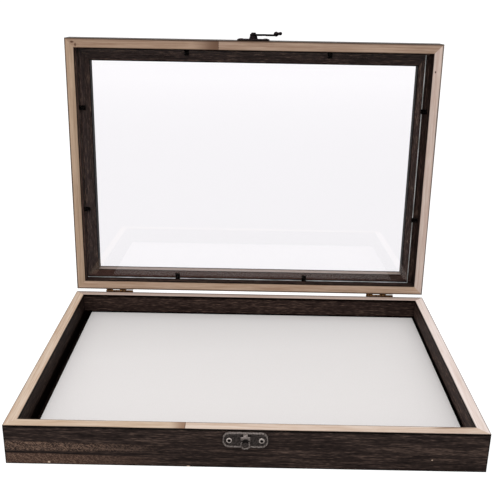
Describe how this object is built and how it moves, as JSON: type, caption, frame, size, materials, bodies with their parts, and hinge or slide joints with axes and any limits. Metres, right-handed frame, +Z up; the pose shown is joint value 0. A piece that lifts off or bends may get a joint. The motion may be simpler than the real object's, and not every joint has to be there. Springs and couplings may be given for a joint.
{
  "type": "enamel pin display case",
  "caption": "Flat hinged wooden display case with a glazed lid standing open, a pale foam-backed pad in the tray, small bronze hinges and a swinging front hook latch.",
  "frame": {"origin": "middle of the tray's underside, on the table", "axes": "+X to the user's right along the front, +Y to the back where the hinges are, +Z up; the lid stands open"},
  "size_m": [0.35, 0.2859, 0.2883],
  "materials": {
    "stained_wood": "satin",
    "panel_wood": "matte",
    "foam": "matte",
    "pad_cloth": "matte",
    "clear_glass": "gloss",
    "bright_steel": "satin",
    "old_bronze": "satin"
  },
  "bodies": {
    "tray": {"base_front_board": "stained_wood", "base_back_board": "stained_wood", "base_left_board": "stained_wood", "base_right_board": "stained_wood", "floor_panel": "panel_wood", "pin_foam": "foam", "pad_cover": "pad_cloth", "panel_brads": "bright_steel", "base_hinge_screws": "old_bronze", "catch_plate": "old_bronze", "catch_screws": "old_bronze", "left_hinge_base_leaf": "old_bronze", "right_hinge_base_leaf": "old_bronze", "left_hinge_pin": "old_bronze", "right_hinge_pin": "old_bronze"},
    "lid": {"lid_front_board": "stained_wood", "lid_back_board": "stained_wood", "lid_left_board": "stained_wood", "lid_right_board": "stained_wood", "glass_pane": "clear_glass", "glazing_points": "bright_steel", "lid_hinge_screws": "old_bronze", "hasp_plate": "old_bronze", "hasp_screws": "old_bronze", "hasp_rivet": "old_bronze", "left_hinge_lid_leaf": "old_bronze", "right_hinge_lid_leaf": "old_bronze"},
    "hook": {"hook": "old_bronze"}
  },
  "joints": [
    {"name": "lid_hinge", "type": "hinge", "parent": "tray", "child": "lid", "pos_m": [0, 0.1249, 0.0322], "axis": [1, 0, 0], "range_deg": [0, 92.15]},
    {"name": "hook_swing", "type": "hinge", "parent": "lid", "child": "hook", "pos_m": [-0.0007, 0.1399, 0.27971], "axis": [0, -0.0375, -0.9993], "range_deg": [-180, 90]}
  ]
}
